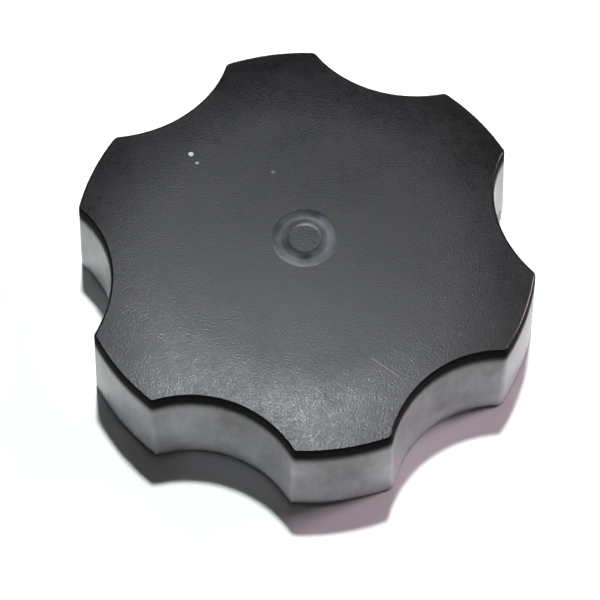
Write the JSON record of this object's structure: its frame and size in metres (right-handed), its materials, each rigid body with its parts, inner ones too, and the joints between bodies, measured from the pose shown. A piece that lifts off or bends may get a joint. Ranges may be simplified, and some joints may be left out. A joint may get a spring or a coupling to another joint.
{
  "type": "fuel filler cap",
  "caption": "Vented screw-on fuel filler cap with a lobed grip, an inner threaded collar, a neck gasket and a two-way vent valve under the roof.",
  "frame": {"origin": "on the cap's axis, in the plane of the rim that the cap stands on", "axes": "+Z along the cap's axis from the open rim to the crown; +X through the middle of a scallop; +Y through the middle of a lobe"},
  "size_m": [0.0722, 0.076, 0.0182],
  "materials": {
    "moulded_nylon": "fine spark-eroded grain on the crown, smooth semi-gloss walls",
    "nitrile_rubber": "matt",
    "acetal": "satin, natural colour",
    "filter_foam": "open-cell foam",
    "spring_steel": "drawn wire",
    "turned_brass": "turned"
  },
  "bodies": {
    "cap": {"cap_body": "moulded_nylon", "neck_gasket": "nitrile_rubber", "vent_baffle": "acetal", "vent_filter": "filter_foam", "pressure_spring": "spring_steel"},
    "pressure_valve": {"pressure_seal": "nitrile_rubber", "pressure_plate": "turned_brass", "vacuum_spring": "spring_steel"},
    "vacuum_poppet": {"vacuum_valve": "turned_brass", "vacuum_seal": "nitrile_rubber", "spring_clip": "spring_steel"}
  },
  "joints": [
    {"name": "pressure_relief", "type": "slide", "parent": "cap", "child": "pressure_valve", "axis": [0, 0, 1], "range_m": [0, 0.0008], "stiffness_N_per_m": 200, "springref_m": -0.0012, "deforming": ["pressure_spring"]},
    {"name": "vacuum_relief", "type": "slide", "parent": "pressure_valve", "child": "vacuum_poppet", "axis": [0, 0, -1], "range_m": [0, 0.0007], "stiffness_N_per_m": 60, "springref_m": -0.0008, "deforming": ["vacuum_spring"]}
  ]
}
